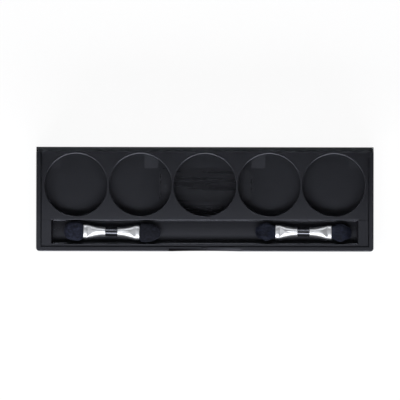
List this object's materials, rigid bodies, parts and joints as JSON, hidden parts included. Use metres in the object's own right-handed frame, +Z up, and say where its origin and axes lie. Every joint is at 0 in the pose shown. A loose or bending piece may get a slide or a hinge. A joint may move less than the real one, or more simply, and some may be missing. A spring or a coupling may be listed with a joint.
{
  "type": "eyeshadow palette",
  "caption": "Low black case with a row of round pan wells, a trough with a sponge and a brush applicator, and a clear hinged lid.",
  "frame": {"origin": "bottom centre of the case", "axes": "+X along the row of wells, +Y from the thumb notch to the hinge, +Z up"},
  "size_m": [0.144, 0.0446, 0.0519],
  "materials": {
    "case_black": "satin moulded",
    "insert_black": "satin moulded",
    "inlay_black": "brushed satin",
    "lid_clear": "clear polished",
    "pin_steel": "blackened wire",
    "handle_black": "polished",
    "ferrule_silver": "bright rolled",
    "sponge_navy": "open-cell foam",
    "bristle_navy": "fine bristle"
  },
  "bodies": {
    "base": {"base_shell": "case_black", "floor_inlay": "inlay_black", "pan_plate": "insert_black", "applicator_tray": "insert_black", "hinge_pin_left": "pin_steel", "hinge_pin_right": "pin_steel"},
    "lid_body": {"lid": "lid_clear"},
    "sponge_applicator": {"sponge_handle": "handle_black", "sponge_ferrule_left": "ferrule_silver", "sponge_ferrule_right": "ferrule_silver", "sponge_stem_left": "handle_black", "sponge_stem_right": "handle_black", "sponge_tip_left": "sponge_navy", "sponge_tip_right": "sponge_navy"},
    "brush_applicator": {"brush_handle": "handle_black", "brush_ferrule_left": "ferrule_silver", "brush_ferrule_right": "ferrule_silver", "bristle_plug_left": "handle_black", "bristle_plug_right": "handle_black", "brush_bristles_left": "bristle_navy", "brush_bristles_right": "bristle_navy"}
  },
  "joints": [
    {"name": "lid_hinge", "type": "hinge", "parent": "base", "child": "lid_body", "pos_m": [0, 0.02125, 0.0084], "axis": [-1, 0, 0], "range_deg": [-90, 90]},
    {"name": "sponge_slide", "type": "slide", "parent": "base", "child": "sponge_applicator", "axis": [1, 0, 0], "range_m": [-0.0046, 0.018]},
    {"name": "brush_slide", "type": "slide", "parent": "base", "child": "brush_applicator", "axis": [1, 0, 0], "range_m": [-0.018, 0.002]}
  ]
}
